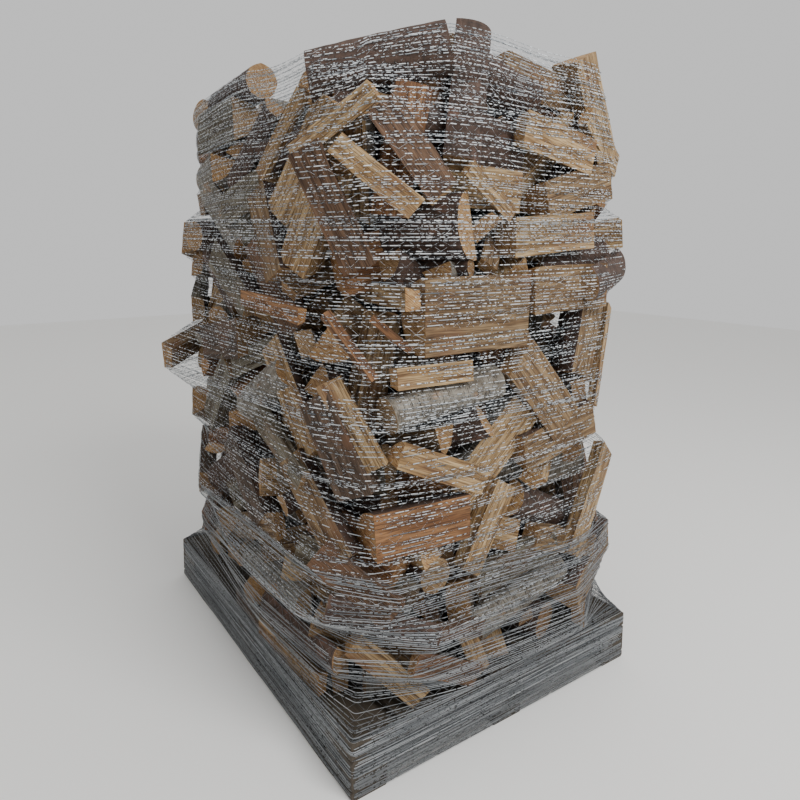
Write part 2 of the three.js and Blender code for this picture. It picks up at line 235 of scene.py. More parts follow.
def mix(tree: bpy.types.NodeTree, factor, one, other, blend: str = "MIX") -> bpy.types.NodeSocket:
    """Mixes two colours.

    Args:
        tree: the node tree.
        factor: an output or a number.
        one: the first colour, an output or a value.
        other: the second colour.
        blend: how they are mixed.
    Returns:
        The mixed colour output.
    """
    node = add(tree, "ShaderNodeMix", {0: factor, 6: one, 7: other}, data_type="RGBA", blend_type=blend)
    return node.outputs[2]


def noise(tree: bpy.types.NodeTree, vector, scale, detail: float) -> bpy.types.NodeSocket:
    """A noise stretched by a vector of scales.

    Args:
        tree: the node tree.
        vector: the coordinates.
        scale: lumps per metre along each of the three axes.
        detail: octaves.
    Returns:
        The noise's value.
    """
    places = add(tree, "ShaderNodeVectorMath", {0: vector, 1: scale}, operation="MULTIPLY").outputs[0]
    return add(tree, "ShaderNodeTexNoise", {"Vector": places, "Scale": 1.0, "Detail": detail}).outputs["Fac"]


def bump(tree: bpy.types.NodeTree, height: bpy.types.NodeSocket, distance: float) -> bpy.types.NodeSocket:
    """A bump of a real depth.

    Args:
        tree: the node tree.
        height: the height, 0 to 1.
        distance: the depth in metres.
    Returns:
        The normal.
    """
    return add(tree, "ShaderNodeBump", {"Height": height, "Distance": distance, "Strength": 1.0}).outputs["Normal"]


@dataclass(frozen=True)
class Finish:
    """A finish: its name and roughness. Subclasses give the colour and relief."""

    name: str
    roughness: float = 0.8

    def paint(self, tree: bpy.types.NodeTree) -> dict:
        """Gives the shader's inputs.

        Args:
            tree: the material's node tree.
        Returns:
            Values or outputs by the name of the shader's input.
        """
        raise NotImplementedError

    def build(self) -> bpy.types.Material:
        """Makes the material.

        Returns:
            The material.
        """
        material = bpy.data.materials.new(self.name)
        material.use_nodes = True
        tree = material.node_tree
        shader = tree.nodes["Principled BSDF"]
        shader.inputs["Roughness"].default_value = self.roughness
        for key, value in self.paint(tree).items():
            if isinstance(value, bpy.types.NodeSocket):
                tree.links.new(value, shader.inputs[key])
            else:
                shader.inputs[key].default_value = value
        return material


@dataclass(frozen=True)
class SplitBirch(Finish):
    """Freshly split birch: cream to tan, long torn fibres, darker streaks, now and then a heart stain."""

    stain: str = "#6c4a31"
    fibre_mm: float = 3.0
    relief: float = 0.0012

    def paint(self, tree: bpy.types.NodeTree) -> dict:
        """Gives the shader's inputs.

        Args:
            tree: the material's node tree.
        Returns:
            Colour and normal: the log's tone, streaked along the grain.
        """
        grain = add(tree, "ShaderNodeAttribute", attribute_name="grain").outputs["Vector"]
        tone = add(tree, "ShaderNodeAttribute", attribute_name="tone").outputs["Color"]
        fine = 1000 / self.fibre_mm
        fibres = noise(tree, grain, (fine, fine, fine / 22), 6)
        streaks = noise(tree, grain, (70, 70, 5), 4)
        patches = noise(tree, grain, (9, 9, 5), 3)
        dark = mix(tree, 1.0, tone, linear("#988a78"), "MULTIPLY")
        colour = mix(tree, ramp(tree, fibres, 0.36, 0.56), dark, tone)
        colour = mix(tree, ramp(tree, streaks, 0.6, 0.42), mix(tree, 1.0, colour, linear("#bcae9b"), "MULTIPLY"), colour)
        colour = mix(tree, ramp(tree, patches, 0.56, 0.8), colour, linear(self.stain))
        return {"Base Color": colour, "Normal": bump(tree, fibres, self.relief)}


@dataclass(frozen=True)
class SawnEnd(Finish):
    """A sawn end of birch: pale yellow, faint yearly rings and the saw's marks."""

    ring_mm: float = 3.2

    def paint(self, tree: bpy.types.NodeTree) -> dict:
        """Gives the shader's inputs.

        Args:
            tree: the material's node tree.
        Returns:
            Colour and normal: rings by the distance from the pith.
        """
        grain = add(tree, "ShaderNodeAttribute", attribute_name="grain").outputs["Vector"]
        tone = add(tree, "ShaderNodeAttribute", attribute_name="tone").outputs["Color"]
        flat = add(tree, "ShaderNodeVectorMath", {0: grain, 1: (1, 1, 0)}, operation="MULTIPLY").outputs[0]
        wobble = noise(tree, grain, (40, 40, 40), 3)
        reach = add(tree, "ShaderNodeVectorMath", {0: flat}, operation="LENGTH").outputs["Value"]
        bent = add(tree, "ShaderNodeMath", {0: wobble, 1: 0.006, 2: reach}, operation="MULTIPLY_ADD").outputs[0]
        turns = add(tree, "ShaderNodeMath", {0: bent, 1: 2000 * math.pi / self.ring_mm}, operation="MULTIPLY").outputs[0]
        rings = add(tree, "ShaderNodeMath", {0: turns}, operation="SINE").outputs[0]
        saw = noise(tree, grain, (60, 700, 20), 3)
        light = mix(tree, 0.45, tone, linear("#c6a878"))
        colour = mix(tree, ramp(tree, rings, -0.6, 1.6), light, mix(tree, 1.0, light, linear("#c19a6b"), "MULTIPLY"))
        colour = mix(tree, ramp(tree, saw, 0.62, 0.4), mix(tree, 1.0, colour, linear("#a98e70"), "MULTIPLY"), colour)
        return {"Base Color": colour, "Normal": bump(tree, saw, 0.0006)}


@dataclass(frozen=True)
class BirchBark(Finish):
    """Birch bark: papery with dark dashes round the stem where white, fissured where dark."""

    base: str = "#8f897e"
    mark: str = "#2e2822"
    worn: str = "#9a7754"
    marked: float = 0.56
    relief: float = 0.0015

    def paint(self, tree: bpy.types.NodeTree) -> dict:
        """Gives the shader's inputs.

        Args:
            tree: the material's node tree.
        Returns:
            Colour and normal: dashes round the stem, and rubbed patches.
        """
        grain = add(tree, "ShaderNodeAttribute", attribute_name="grain").outputs["Vector"]
        dashes = noise(tree, grain, (45, 45, 420), 3)
        cracks = noise(tree, grain, (150, 150, 60), 5)
        rubbed = noise(tree, grain, (22, 22, 14), 4)
        shade = noise(tree, grain, (60, 60, 40), 4)
        base = mix(tree, ramp(tree, shade, 0.3, 0.7), mix(tree, 1.0, linear(self.base), linear("#a59b90"), "MULTIPLY"),
                   linear(self.base))
        colour = mix(tree, ramp(tree, rubbed, 0.6, 0.72), base, linear(self.worn))
        colour = mix(tree, ramp(tree, dashes, self.marked, self.marked + 0.06), colour, linear(self.mark))
        colour = mix(tree, ramp(tree, cracks, 0.64, 0.72), colour, linear(self.mark))
        return {"Base Color": colour, "Normal": bump(tree, cracks, self.relief)}


@dataclass(frozen=True)
class PalletTimber(Finish):
    """Weathered softwood of a used pallet: grey-brown with darker grain and grime, its base darkened further by
    painted shade for the shadow on the pallet's sides.
    """

    # a grey-brown darkened by painted shade: the shadow on the pallet's sides is painted into it
    base: str = "#463d31"

    def paint(self, tree: bpy.types.NodeTree) -> dict:
        """Gives the shader's inputs.

        Args:
            tree: the material's node tree.
        Returns:
            Colour and normal: grain along the board, grime in patches, and painted shade in the base colour.
        """
        grain = add(tree, "ShaderNodeAttribute", attribute_name="grain").outputs["Vector"]
        lines = noise(tree, grain, (260, 260, 6), 5)
        darkening = noise(tree, grain, (14, 14, 6), 4)
        # the base colour, with painted shade in it
        base = linear(self.base)
        colour = mix(tree, ramp(tree, lines, 0.35, 0.6), linear("#352e26"), base)
        colour = mix(tree, ramp(tree, darkening, 0.52, 0.75), colour, linear("#26221d"))
        return {"Base Color": colour, "Normal": bump(tree, lines, 0.001)}


@dataclass(frozen=True)
class NetThread(Finish):
    """Knitted polyethylene tape, a little see-through, with a painted highlight where a stitch lies flat and painted
    shade between the stitches.
    """

    stitch_mm: float = 9.0
    # painted highlight: the colour of a stitch lying flat in the light
    painted_highlight: str = "#e6eaed"
    # painted shade: the colour between the stitches
    painted_stitch_shade: str = "#5d656c"
    gap: float = 0.51

    def paint(self, tree: bpy.types.NodeTree) -> dict:
        """Gives the shader's inputs.

        Args:
            tree: the material's node tree.
        Returns:
            Colour and how opaque the thread is, changing with each stitch along it: a painted highlight on each stitch
            and painted shade between.
        """
        run = add(tree, "ShaderNodeAttribute", attribute_name="grain").outputs["Vector"]
        stitches = noise(tree, run, (1000 / self.stitch_mm, 90, 90), 2)
        patches = noise(tree, run, (5, 7, 7), 3)
        lit = ramp(tree, stitches, self.gap - 0.03, self.gap + 0.03)
        soft = ramp(tree, patches, 0.3, 0.62)
        # where the painted highlight lies; elsewhere the thread takes the painted shade
        highlight_mask = add(tree, "ShaderNodeMath", {0: lit, 1: soft}, operation="MULTIPLY").outputs[0]
        # the band's shade factor: the threads are darkest in the bands at the load's foot
        darkening = add(tree, "ShaderNodeAttribute", attribute_name="tone").outputs["Color"]
        colour = mix(tree, 1.0, mix(tree, highlight_mask, linear(self.painted_stitch_shade), linear(self.painted_highlight)), darkening, "MULTIPLY")
        alpha = add(tree, "ShaderNodeMath", {0: lit, 1: 0.9, 2: 0.1}, operation="MULTIPLY_ADD").outputs[0]
        return {"Base Color": colour, "Alpha": alpha}


@dataclass(frozen=True)
class Plaster(Finish):
    """A matt pale studio floor."""

    colour: str = "#f2f1ee"

    def paint(self, tree: bpy.types.NodeTree) -> dict:
        """Gives the shader's inputs.

        Args:
            tree: the material's node tree.
        Returns:
            Its one colour.
        """
        return {"Base Color": linear(self.colour)}


# ---------------------------------------------------------------- meshes


@dataclass
class Surface:
    """Triangles with what the finishes read: the grain's coordinates, the tone and each face's material."""

    points: np.ndarray
    faces: np.ndarray
    grain: np.ndarray
    tone: np.ndarray
    kind: np.ndarray

    @staticmethod
    def join(parts: "list[Surface]") -> "Surface":
        """Joins surfaces into one, each keeping its own vertices.

        Args:
            parts: the surfaces.
        Returns:
            The joined surface.
        """
        starts = np.cumsum([0] + [len(p.points) for p in parts[:-1]])
        return Surface(
            np.concatenate([p.points for p in parts]),
            np.concatenate([p.faces + start for p, start in zip(parts, starts)]),
            np.concatenate([p.grain for p in parts]),
            np.concatenate([p.tone for p in parts]),
            np.concatenate([p.kind for p in parts]),
        )

    def area(self) -> float:
        """Adds up the triangles' areas.

        Returns:
            Square metres.
        """
        a, b, c = (self.points[self.faces[:, k]] for k in range(3))
        return float(np.linalg.norm(np.cross(b - a, c - a), axis=1).sum() / 2)

    def build(self, name: str, materials: list, sharp: float | None = 38.0) -> bpy.types.Object:
        """Makes the mesh object.

        Args:
            name: the object's name.
            materials: the materials, in the order that kind counts them.
            sharp: edges over this many degrees stay crisp, or None for a flat shading.
        Returns:
            The object, at the origin.
        """
        mesh = bpy.data.meshes.new(name)
        count = len(self.faces)
        mesh.vertices.add(len(self.points))
        mesh.vertices.foreach_set("co", self.points.astype(np.float32).ravel())
        mesh.loops.add(3 * count)
        mesh.loops.foreach_set("vertex_index", self.faces.astype(np.int32).ravel())
        mesh.polygons.add(count)
        mesh.polygons.foreach_set("loop_start", np.arange(0, 3 * count, 3, dtype=np.int32))
        mesh.polygons.foreach_set("material_index", self.kind.astype(np.int32))
        mesh.update(calc_edges=True)
        grain = mesh.attributes.new("grain", "FLOAT_VECTOR", "POINT")
        grain.data.foreach_set("vector", self.grain.astype(np.float32).ravel())
        tone = mesh.attributes.new("tone", "FLOAT_COLOR", "POINT")
        rgba = np.concatenate([self.tone, np.ones((len(self.tone), 1))], 1)
        tone.data.foreach_set("color", rgba.astype(np.float32).ravel())
        for material in materials:
            mesh.materials.append(material)
        if sharp is not None:
            mesh.shade_smooth()
            mesh.set_sharp_from_angle(angle=math.radians(sharp))
        thing = bpy.data.objects.new(name, mesh)
        bpy.context.scene.collection.objects.link(thing)
        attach(thing, "root")
        return thing


# Materials of a log's faces, in the order of Surface.kind.
SPLIT, SAWN, WHITE_BARK, DARK_BARK = range(4)


def log_surface(stations: np.ndarray, bark: np.ndarray, tone: str, cover: Bark, rng: np.random.Generator,
                spacing: float, rows: int, relief: float = 1.0) -> Surface:
    """Draws a log: its outline at four stations is filled in along and across, and the split faces are torn.

    The outline between corners is straight on split faces and bowed by a twentieth of the edge on bark. Along
    the log a cubic runs through the four stations. Split faces are pushed in and out by ridges that run along
    the grain, bark by lumps; the sawn ends stay flat.

    Args:
        stations: (4, n, 3) outlines, counter-clockwise about the log's axis.
        bark: (n,) whether the edge that starts at each corner is bark.
        tone: the wood's colour.
        cover: the kind of bark.
        rng: the random source.
        spacing: metres between columns across the faces.
        rows: rows along the log.
        relief: a factor on the ridges.
    Returns:
        The closed surface.
    """
    axis = unit(stations[3].mean(0) - stations[0].mean(0))
    side = unit(np.cross(axis, [0.3, 0.5, 0.81]))
    other = np.cross(axis, side)
    edges = np.roll(stations, -1, axis=1) - stations
    lengths = np.linalg.norm(edges, axis=2).mean(0)
    parts = np.maximum(1, np.rint(lengths / spacing)).astype(int)
    edge = np.repeat(np.arange(len(parts)), parts)
    start = np.repeat(np.cumsum(parts) - parts, parts)
    t = (np.arange(len(edge)) - start) / parts[edge]
    outward = unit(np.cross(edges, axis))
    bow = (0.05 * lengths[edge] * 4 * t * (1 - t) * bark[edge])[None, :, None]
    columns = stations[:, edge] + edges[:, edge] * t[None, :, None] + outward[:, edge] * bow
    places = np.linspace(0, 1, rows)
    knots = np.arange(4) / 3
    weights = np.ones((rows, 4))
    for k in range(4):
        for m in range(4):
            if m != k:
                weights[:, k] *= (places - knots[m]) / (knots[k] - knots[m])
    grid = np.einsum("rk,kcx->rcx", weights, columns)
    across = np.arange(len(edge)) * spacing
    ridge = ripple(rng, across, 0.045, 4) * 0.9 * MM
    drift = ripple(rng, places[:, None] * 0.3 + across[None] * 1.5, 0.33, 3) * 1.1 * MM
    lumps = ripple(rng, places[:, None] * 0.3 + 0.4 * across[None], 0.07, 3) * 0.8 * MM
    window = np.where(bark[edge], 0.6, 0.35 + 0.65 * np.sqrt(np.clip(4 * t * (1 - t), 0, 1)))
    push = np.where(bark[edge][None], lumps, ridge[None] + drift) * window[None] * relief
    push[[0, -1]] *= 0.4
    normal = unit(np.cross(np.roll(grid, -1, 1) - np.roll(grid, 1, 1), axis))
    grid = grid + normal * push[..., None]
    # sawn ends: a little out of square, so each end is sheared along the axis
    shear = rng.normal(0, 0.03, (2, 2))
    middle = stations.mean((0, 1))
    for end, row in enumerate((0, rows - 1)):
        lever = (grid[row] - grid[row].mean(0)) @ np.stack([side, other], 1)
        grid[row] = grid[row] + axis * (lever @ shear[end])[:, None]
    count = len(edge)
    hubs = grid[[0, -1]].mean(1)
    points = np.concatenate([grid.reshape(-1, 3), hubs])
    a = (np.arange(rows - 1)[:, None] * count + np.arange(count)[None]).ravel()
    b = (np.arange(rows - 1)[:, None] * count + np.roll(np.arange(count), -1)[None]).ravel()
    walls = np.concatenate([np.stack([a, b, b + count], 1), np.stack([a, b + count, a + count], 1)])
    c, d = np.arange(count), np.roll(np.arange(count), -1)
    low, high, last = rows * count, rows * count + 1, (rows - 1) * count
    caps = np.concatenate([np.stack([d, c, 0 * c + low], 1),
                           np.stack([c + last, d + last, 0 * c + high], 1)])
    skin = WHITE_BARK if cover is Bark.WHITE else DARK_BARK
    wall_kind = np.tile(np.where(bark[edge], skin, SPLIT), rows - 1)
    kind = np.concatenate([wall_kind, wall_kind, np.full(2 * count, SAWN)])
    # the pith: the centre of the bark's arc where there is one, a random way off otherwise
    if bark.sum() >= 3:
        rim = (stations[1] - stations[1].mean(0))[bark]
        flat = rim @ np.stack([side, other], 1)
        fit = np.linalg.lstsq(np.c_[2 * flat, np.ones(len(flat))], (flat ** 2).sum(1), rcond=None)[0][:2]
    else:
        turn = rng.uniform(0, 2 * math.pi)
        fit = rng.uniform(0.03, 0.09) * np.array([math.cos(turn), math.sin(turn)])
    away = points - middle
    shift = rng.uniform(0, 40)
    grain = np.stack([away @ side - fit[0], away @ other - fit[1], away @ axis + shift], 1)
    colour = np.array(linear(tone)[:3]) * rng.uniform(0.88, 1.1)
    return Surface(points, np.concatenate([walls, caps]), grain, np.tile(colour, (len(points), 1)), kind)


def section(shape: Shape, width: float, rng: np.random.Generator) -> tuple[np.ndarray, np.ndarray]:
    """Gives the outline across a log; its face looks along +Y.

    Args:
        shape: how it was split.
        width: the width of the face, or of the stem.
        rng: the random source.
    Returns:
        (n, 2) points, counter-clockwise, and which edges carry bark.
    """
    def arc(radius: float, low: float, high: float, pieces: int) -> np.ndarray:
        turn = np.linspace(low, high, pieces + 1)
        reach = radius * (1 + 0.03 * rng.uniform(-1, 1, pieces + 1))
        return np.stack([np.cos(turn) * reach, np.sin(turn) * reach], 1)

    wobble = 0.05 * width * rng.uniform(-1, 1, (4, 2))
    if shape is Shape.ROUND:
        outline = arc(width / 2, 0, 2 * math.pi * 7 / 8, 7)
        bark = np.ones(8, bool)
    elif shape is Shape.HALF:
        outline = arc(width / 2, -0.05, math.pi + 0.05, 6)
        bark = np.arange(7) < 6
    elif shape is Shape.QUARTER:
        outline = np.concatenate([[[0, 0]], arc(width / 1.42, math.pi / 4, 3 * math.pi / 4, 4)])
        bark = (np.arange(6) > 0) & (np.arange(6) < 5)
    elif shape is Shape.FACE:
        outline = np.concatenate([[[-width / 2, 0]], arc(width, -1.2, 0, 4) - [width / 2, 0]])
        bark = (np.arange(6) > 0) & (np.arange(6) < 5)
    else:
        depth = {Shape.SLAB: 0.42, Shape.SLAT: 0.55, Shape.BILLET: 0.72}[shape] * width
        outline = np.array([[-width / 2, 0], [-0.42 * width, -depth], [0.4 * width, -0.95 * depth], [width / 2, 0]]) + wobble
        bark = np.zeros(4, bool)
        bark[1] = shape is Shape.SLAB and rng.random() < 0.6
    return outline, bark


def log_stations(shape: Shape, width: float, length: float, place: np.ndarray, rng: np.random.Generator
                 ) -> tuple[np.ndarray, np.ndarray]:
    """Carries a section along a log with a little twist, taper and bow.

    Args:
        shape: how it was split.
        width: the width of its face.
        length: its length.
        place: (4, 3) rows: across, face and axis directions, and the middle of its face.
        rng: the random source.
    Returns:
        (4, n, 3) outlines and which edges carry bark.
    """
    outline, bark = section(shape, width, rng)
    t = np.linspace(-0.5, 0.5, 4)[:, None]
    turn = math.radians(6) * rng.uniform(-1, 1) * t
    scale = 1 + 0.09 * rng.uniform(-1, 1) * t
    bow = 0.012 * length * rng.uniform(-1, 1) * (1 - 4 * t * t)
    x = (outline[None, :, 0] * np.cos(turn) - outline[None, :, 1] * np.sin(turn)) * scale + bow
    y = (outline[None, :, 0] * np.sin(turn) + outline[None, :, 1] * np.cos(turn)) * scale
    stations = place[3] + x[..., None] * place[0] + y[..., None] * place[1] + (t * length)[..., None] * place[2]
    return stations, bark


# ---------------------------------------------------------------- the logs that the CAD names


@dataclass
class NamedLogs:
    """The 36 logs of the CAD, each drawn again on its own outline with torn faces, bark and sawn ends."""

    materials: list
    spacing: float = 0.007
    rows: int = 14
    white: tuple[int, ...] = (25, 29, 30)
    # log 2's brown tone is partly painted shade: the face it stands for lies in shade
    tones: dict = field(default_factory=lambda: {
        1: Tone.RED, 2: Tone.BROWN, 3: Tone.PALE, 4: Tone.PALE, 5: Tone.PALE, 6: Tone.PALE, 7: Tone.PALE, 8: Tone.RED,
        9: Tone.PALE, 10: Tone.RED, 11: Tone.PALE, 12: Tone.PALE, 13: Tone.PALE, 14: Tone.TAN, 15: Tone.TAN,
        16: Tone.TAN, 17: Tone.PALE, 18: Tone.ORANGE, 19: Tone.TAN, 20: Tone.GREY, 21: Tone.ORANGE, 22: Tone.TAN,
        23: Tone.PALE, 24: Tone.ORANGE, 25: Tone.GREY, 26: Tone.GREY, 27: Tone.BROWN, 28: Tone.PALE, 29: Tone.GREY,
        30: Tone.GREY, 31: Tone.PALE, 32: Tone.BROWN, 33: Tone.BROWN, 34: Tone.TAN, 35: Tone.PALE, 36: Tone.RED,
    })
    slots: dict = field(default_factory=lambda: {
        Tone.PALE: "pale", Tone.TAN: "tan", Tone.ORANGE: "orange", Tone.RED: "tan", Tone.GREY: "pale",
        Tone.BROWN: "tan",
    })

    @staticmethod
    def stations(points: np.ndarray, faces: np.ndarray) -> np.ndarray:
        """Finds a CAD log's four outlines: its corners sorted along the axis, then round it.

        Args:
            points: (n, 3) corners, each once.
            faces: (m, 3) triangles.
        Returns:
            (4, n / 4, 3) outlines, counter-clockwise about the axis and starting at the same corner.
        """
        middle = points.mean(0)
        axis = np.linalg.svd(points - middle)[2][0]
        a, b, c = (points[faces[:, k]] for k in range(3))
        normals = np.cross(b - a, c - a)
        for limit in (0.85, 0.99, 0.999):
            along = unit(normals) @ axis
            ends = abs(along) > limit
            axis = unit((normals[ends] * np.sign(along[ends])[:, None]).sum(0))
        order = np.argsort(points @ axis)
        rings = points[order].reshape(4, -1, 3)
        side = unit(np.cross(axis, [0.3, 0.5, 0.81]))
        frame2 = np.stack([side, np.cross(axis, side)], 1)
        out = []
        for ring in rings:
            away = (ring - ring.mean(0)) @ frame2
            ring = ring[np.argsort(np.arctan2(away[:, 1], away[:, 0]))]
            if out:
                step = axis * ((ring.mean(0) - out[-1].mean(0)) @ axis)
                gaps = [np.linalg.norm(np.roll(ring, -k, 0) - step - out[-1], axis=1).sum() for k in range(len(ring))]
                ring = np.roll(ring, -int(np.argmin(gaps)), 0)
            out.append(ring)
        return np.stack(out)

    def build(self) -> "list[Surface]":
        """Builds every log and dresses it.

        Returns:
            The surfaces, for the net to lie on.
        """
        surfaces = []
        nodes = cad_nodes()
        for name in sorted(n for n in nodes if n[-3:-2] == "_" and n[-2:].isdigit()):
            number = int(name[-2:])
            mesh = nodes[name].data
            raw = np.empty(3 * len(mesh.vertices))
            mesh.vertices.foreach_get("co", raw)
            mesh.calc_loop_triangles()
            corner = np.empty(3 * len(mesh.loop_triangles), np.int32)
            mesh.loop_triangles.foreach_get("vertices", corner)
            points, back = np.unique(np.round(raw.reshape(-1, 3), 5), axis=0, return_inverse=True)
            faces = back.ravel()[corner].reshape(-1, 3)
            stations = self.stations(points, faces)
            lengths = np.linalg.norm(np.roll(stations, -1, 1) - stations, axis=2).mean(0)
            kind = name[:-3]
            bark = lengths < (9 if kind == "round_log" else 0.6 if kind in ("half_log", "quarter_log") else 0) * lengths.max()
            rng = np.random.default_rng(500 + number)
            tone = self.tones[number]
            cover = Bark.WHITE if number in self.white else Bark.DARK
            surface = log_surface(stations, bark, tone.value, cover, rng, self.spacing, self.rows)
            piece = surface.build(f"split_{name}", self.materials)
            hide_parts(name)
            surfaces.append(surface)
            LOG.info("%s: %d triangles", piece.name, len(surface.faces))
        return surfaces


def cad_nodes() -> dict:
    """Gives the CAD's node objects by name.

    Returns:
        The objects.
    """
    return frame["nodes"]


# ---------------------------------------------------------------- the loose logs of the heap


@dataclass(frozen=True)
class Seen:
    """A log listed at the side of the heap: one that can be told apart, or a filler behind a gap.

    Its face lies at a bearing and a height on the load's side; slope turns it up to the right as seen from
    outside, lean tips its right end out, and out moves it outwards. Angles are degrees, lengths mm.
    """

    shape: Shape
    bearing: float
    height: float
    slope: float
    width: float
    length: float
    tone: Tone
    lean: float = 0.0
    out: float = 0.0
    cover: Bark = Bark.DARK

    def place(self) -> np.ndarray:
        """Works out where it lies.

        Returns:
            (4, 3) rows: across, face and axis directions, and the middle of its face.
        """
        point = wall_point(math.radians(self.bearing), self.height * MM)
        outward = wall_normal(point[None])[0]
        up = np.array([0.0, 0.0, 1.0])
        right = np.cross(up, outward)
        slope, lean = math.radians(self.slope), math.radians(self.lean)
        level = right * math.cos(slope) + up * math.sin(slope)
        axis = unit(level * math.cos(lean) + outward * math.sin(lean))
        face = unit(outward - axis * (outward @ axis))
        return np.stack([np.cross(face, axis), face, axis, point + outward * self.out * MM])


SEEN = (
    Seen(Shape.SLAB, -40, 481, -36, 96, 230, Tone.RED),
    Seen(Shape.ROUND, -23.6, 473, 0, 90, 260, Tone.GREY, lean=84, out=-150),
    Seen(Shape.BILLET, -30, 527, 20, 80, 220, Tone.PALE, lean=70, out=-110),
    Seen(Shape.ROUND, -103, 1722, 4, 100, 300, Tone.TAN, out=-40),
    Seen(Shape.FACE, -108, 1625, 2, 120, 300, Tone.GREY, out=-4),
    Seen(Shape.FACE, -102, 985, 10, 116, 300, Tone.BROWN),
    Seen(Shape.SLAT, -33.4, 1078, -40, 20, 120, Tone.ORANGE, out=2),
    Seen(Shape.BILLET, -24, 977, 1, 54, 210, Tone.PALE),
    Seen(Shape.SLAB, -41, 863, -60, 70, 230, Tone.PALE, out=-6),
    Seen(Shape.FACE, -82, 170, 3, 74, 300, Tone.BROWN, out=-8),
    Seen(Shape.SLAB, -20, 322, -10, 44, 240, Tone.RED, out=-6),
    Seen(Shape.FACE, 20, 1420, 14, 104, 280, Tone.TAN, out=-8),
    Seen(Shape.ROUND, -120, 1300, 0, 92, 280, Tone.TAN, lean=70, out=-112),
    Seen(Shape.ROUND, -21, 1214, 8, 46, 300, Tone.BROWN, lean=61, out=-150),
    Seen(Shape.FACE, -136, 1266, 12, 104, 290, Tone.TAN, lean=14, out=-34),
    Seen(Shape.SLAB, -130, 1100, -14, 84, 280, Tone.GREY, lean=8, out=-12),
    Seen(Shape.FACE, -134, 690, 24, 100, 280, Tone.TAN, lean=10, out=-30),
    Seen(Shape.BILLET, -130, 520, -16, 84, 290, Tone.BROWN, lean=6, out=-16),
    Seen(Shape.SLAT, 33, 960, 66, 46, 300, Tone.PALE),
    Seen(Shape.SLAB, 30, 1560, -30, 70, 240, Tone.PALE, out=-4),
    Seen(Shape.BILLET, -8, 560, 60, 66, 240, Tone.PALE, out=-10),
    Seen(Shape.FACE, -85, 600, -40, 100, 290, Tone.BROWN, out=-4),
    Seen(Shape.FACE, -95, 1180, -30, 100, 290, Tone.GREY, out=-6),
    Seen(Shape.HALF, -75, 880, 30, 104, 300, Tone.TAN, out=-58, cover=Bark.WHITE),
    Seen(Shape.FACE, -50, 640, -50, 88, 280, Tone.TAN, out=-8),
    Seen(Shape.SLAB, -78, 480, 20, 80, 290, Tone.TAN, out=-8),
    Seen(Shape.FACE, -85, 1400, 12, 100, 280, Tone.GREY, out=-8),
    Seen(Shape.FACE, 16, 760, 12, 96, 290, Tone.TAN, out=-8),
    Seen(Shape.BILLET, 20, 440, -20, 70, 280, Tone.TAN, out=-8),
    Seen(Shape.SLAB, 3, 440, 8, 84, 290, Tone.GREY, out=-10),
    Seen(Shape.FACE, 27, 1060, 74, 112, 300, Tone.TAN, out=-14),
    Seen(Shape.QUARTER, 33, 1190, 8, 110, 300, Tone.BROWN, out=-60),
    Seen(Shape.FACE, 32, 330, 18, 104, 300, Tone.TAN, out=4),
    Seen(Shape.SLAB, 36, 222, -4, 92, 300, Tone.BROWN, out=8),
    Seen(Shape.HALF, -30, 1618, 4, 120, 300, Tone.BROWN, out=-150),
    Seen(Shape.HALF, -12, 1560, -8, 120, 300, Tone.BROWN, out=-120),
    Seen(Shape.QUARTER, 24, 1215, 12, 110, 300, Tone.BROWN, out=-110),
    Seen(Shape.HALF, -4, 1694, -14, 112, 300, Tone.BROWN, out=-62),
    Seen(Shape.FACE, 12, 1688, -10, 92, 280, Tone.TAN, out=-20),
    Seen(Shape.HALF, -150, 1700, 6, 110, 300, Tone.TAN, out=-60),
    Seen(Shape.QUARTER, 100, 1690, 4, 110, 300, Tone.TAN, out=-70),
    Seen(Shape.HALF, 150, 1680, -5, 116, 300, Tone.GREY, out=-60, cover=Bark.WHITE),
)


